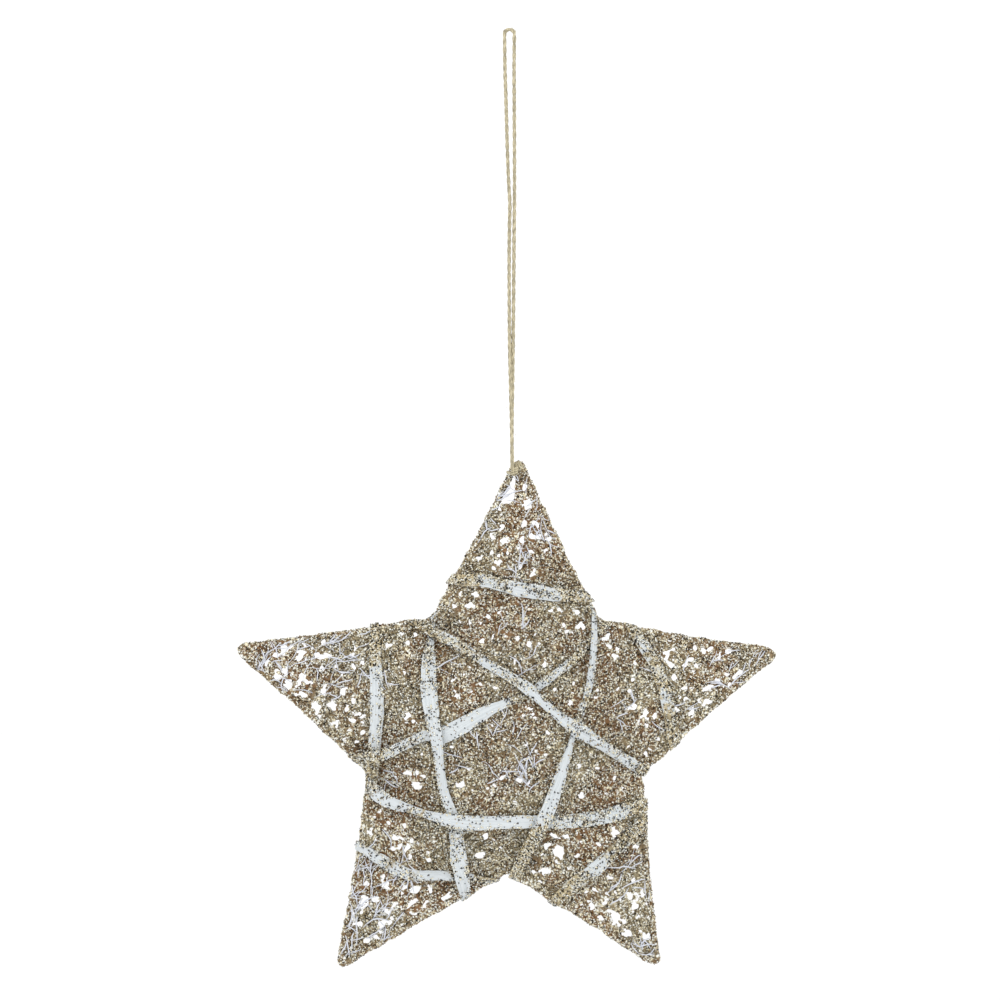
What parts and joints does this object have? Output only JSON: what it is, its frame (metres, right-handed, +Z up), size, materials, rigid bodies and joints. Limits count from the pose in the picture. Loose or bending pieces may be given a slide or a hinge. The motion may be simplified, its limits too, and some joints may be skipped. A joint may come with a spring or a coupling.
{
  "type": "wire star ornament",
  "caption": "Hollow glittered fibre star on a bent wire frame, wound with white paper strips and hung from a loop of twine.",
  "frame": {"origin": "inside top of the hanging loop, where a hook or nail carries it", "axes": "+Z up along the hanging twine, +X to the right across the star seen from the front, -Y the way the star's front faces"},
  "size_m": [0.2011, 0.044, 0.3496],
  "materials": {
    "dark_wire": "dull dark iron wire",
    "gold_glitter_fibre": "loose fibre coated with champagne-gold glitter",
    "white_paper": "white lengthwise-grained paper, matt",
    "cream_twine": "cream two-ply twine"
  },
  "bodies": {
    "root": {"wire_frame": "dark_wire", "fibre_shell": "gold_glitter_fibre", "strip_top_arm": "white_paper", "strip_left_arm": "white_paper", "strip_right_arm": "white_paper", "strip_lower_right_arm": "white_paper", "strip_lower_left_arm": "white_paper", "strip_left_to_upper_right": "white_paper", "strip_upper_left_to_bottom": "white_paper", "strip_left_to_right": "white_paper", "strip_upper_right_to_bottom": "white_paper", "strip_upper_left_to_right": "white_paper", "hanging_cord": "cream_twine", "knot": "cream_twine"}
  },
  "joints": []
}
